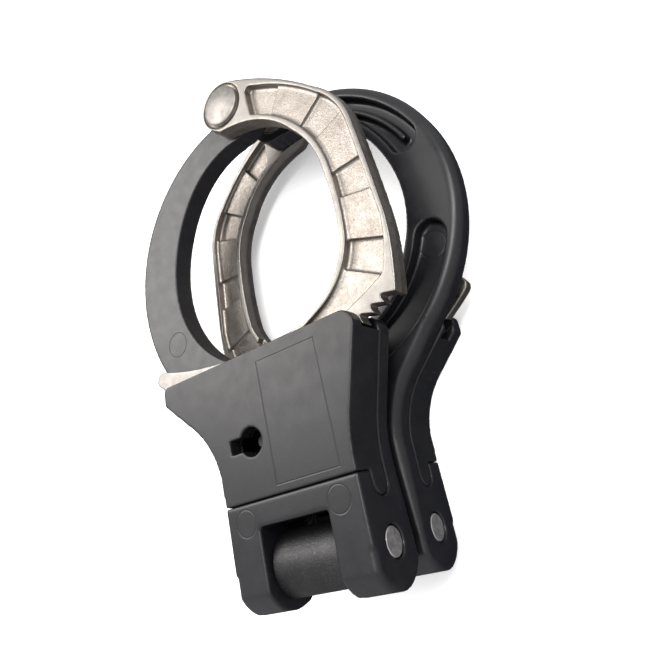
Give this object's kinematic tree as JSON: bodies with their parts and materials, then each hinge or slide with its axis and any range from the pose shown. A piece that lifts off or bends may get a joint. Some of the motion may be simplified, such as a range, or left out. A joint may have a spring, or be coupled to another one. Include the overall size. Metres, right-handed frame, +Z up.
{
  "type": "hinged handcuffs",
  "caption": "Folded hinged handcuffs: locking cuffs with swing-through toothed bows, joined back to back by a rigid hinge link.",
  "frame": {"origin": "bottom centre of the folded pair's box, on the face that the rear cuff lies on", "axes": "+Y runs from the hinge to the rings, +Z is up through both cuffs, +X is across the lock bodies"},
  "size_m": [0.095, 0.1308, 0.035],
  "materials": {
    "body_polymer": "moulded, satin with a fine grain",
    "cast_bow": "cast, fine matt grain with polished rims",
    "rivet_metal": "pressed, satin",
    "pin_steel": "turned, satin",
    "link_metal": "dark satin coat, fine grain",
    "lock_steel": "stamped",
    "spring_steel": "drawn wire"
  },
  "bodies": {
    "rear_cuff": {"rear_frame": "body_polymer", "rear_cover": "body_polymer", "rear_core_plate": "lock_steel", "rear_lock_plate": "lock_steel", "rear_pivot_rivet": "rivet_metal", "rear_hinge_pin": "pin_steel", "rear_pawl_pin": "lock_steel", "rear_pawl_spring": "spring_steel", "rear_slide_spring": "spring_steel", "rear_key_post": "lock_steel"},
    "link": {"hinge_link": "link_metal"},
    "front_cuff": {"front_frame": "body_polymer", "front_cover": "body_polymer", "front_core_plate": "lock_steel", "front_lock_plate": "lock_steel", "front_pivot_rivet": "rivet_metal", "front_hinge_pin": "pin_steel", "front_pawl_pin": "lock_steel", "front_pawl_spring": "spring_steel", "front_slide_spring": "spring_steel", "front_key_post": "lock_steel"},
    "rear_swing_arm": {"rear_bow": "cast_bow"},
    "front_swing_arm": {"front_bow": "cast_bow"},
    "rear_pawl_lever": {"rear_pawl": "lock_steel"},
    "front_pawl_lever": {"front_pawl": "lock_steel"},
    "rear_double_lock": {"rear_lock_slide": "lock_steel"},
    "front_double_lock": {"front_lock_slide": "lock_steel"}
  },
  "joints": [
    {"name": "rear_hinge", "type": "hinge", "parent": "rear_cuff", "child": "link", "pos_m": [0, -0.05645, 0.008], "axis": [1, 0, 0], "range_deg": [0, 90]},
    {"name": "front_hinge", "type": "hinge", "parent": "link", "child": "front_cuff", "pos_m": [0, -0.05645, 0.027], "axis": [1, 0, 0], "range_deg": [0, 90]},
    {"name": "front_bow_swing", "type": "hinge", "parent": "front_cuff", "child": "front_swing_arm", "pos_m": [-0.0029, 0.05785, 0.0276], "axis": [0, 0, 1], "continuous": true},
    {"name": "rear_bow_swing", "type": "hinge", "parent": "rear_cuff", "child": "rear_swing_arm", "pos_m": [0.0029, 0.05785, 0.0074], "axis": [0, 0, -1], "continuous": true},
    {"name": "front_pawl_lift", "type": "hinge", "parent": "front_cuff", "child": "front_pawl_lever", "pos_m": [0.0165, -0.02225, 0.0285], "axis": [0, 0, 1], "range_deg": [-6.6, 0]},
    {"name": "rear_pawl_lift", "type": "hinge", "parent": "rear_cuff", "child": "rear_pawl_lever", "pos_m": [-0.0165, -0.02225, 0.0065], "axis": [0, 0, -1], "range_deg": [-6.6, 0]},
    {"name": "front_double_lock_slide", "type": "slide", "parent": "front_cuff", "child": "front_double_lock", "axis": [1, 0, 0], "range_m": [0, 0.0025]},
    {"name": "rear_double_lock_slide", "type": "slide", "parent": "rear_cuff", "child": "rear_double_lock", "axis": [-1, 0, 0], "range_m": [0, 0.0025]}
  ]
}
